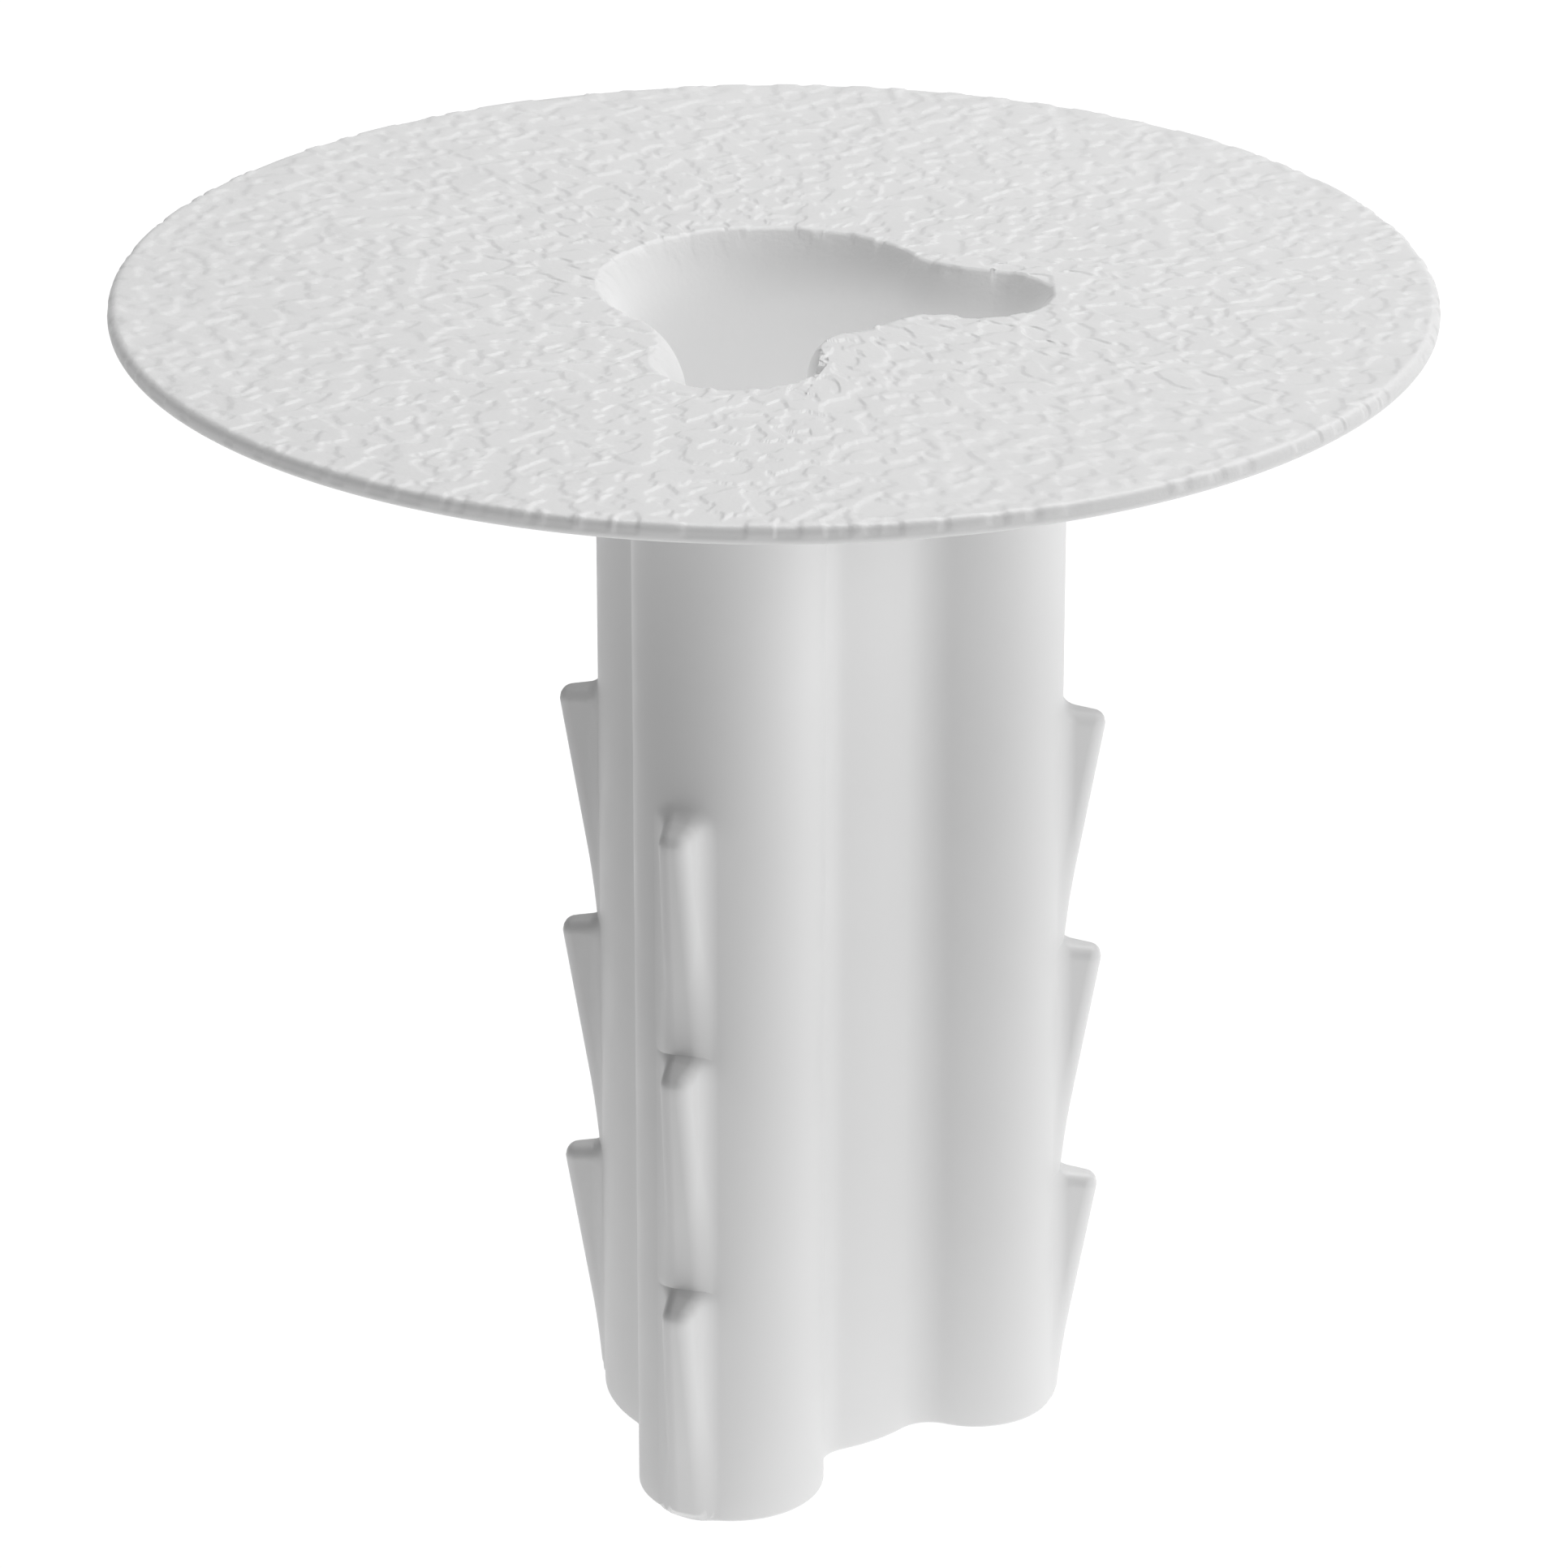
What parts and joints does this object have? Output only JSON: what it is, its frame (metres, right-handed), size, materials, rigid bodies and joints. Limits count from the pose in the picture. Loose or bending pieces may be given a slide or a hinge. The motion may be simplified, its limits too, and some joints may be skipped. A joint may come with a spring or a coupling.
{
  "type": "wall bushing",
  "caption": "Push-in wall bushing: a thin round textured flange on a hollow barbed sleeve whose bore widens into side channels, to line a drilled hole for a cable.",
  "frame": {"origin": "centre of the bounding box at its lowest face, which is the sleeve's free end, on the axis of the flange and of the bore", "axes": "+Z along the sleeve towards the flange; -Y towards the larger side channel; +X towards the smaller side channel"},
  "size_m": [0.0412, 0.0412, 0.0382],
  "materials": {
    "flange_plastic": "moulded crinkle texture on the face, satin below",
    "sleeve_plastic": "satin",
    "barb_plastic": "satin"
  },
  "bodies": {
    "root": {"flange": "flange_plastic", "sleeve": "sleeve_plastic", "barb_left_upper": "barb_plastic", "barb_left_middle": "barb_plastic", "barb_left_lower": "barb_plastic", "barb_front_upper": "barb_plastic", "barb_front_middle": "barb_plastic", "barb_front_lower": "barb_plastic", "barb_right_upper": "barb_plastic", "barb_right_middle": "barb_plastic", "barb_right_lower": "barb_plastic", "barb_back_upper": "barb_plastic", "barb_back_middle": "barb_plastic", "barb_back_lower": "barb_plastic"}
  },
  "joints": []
}
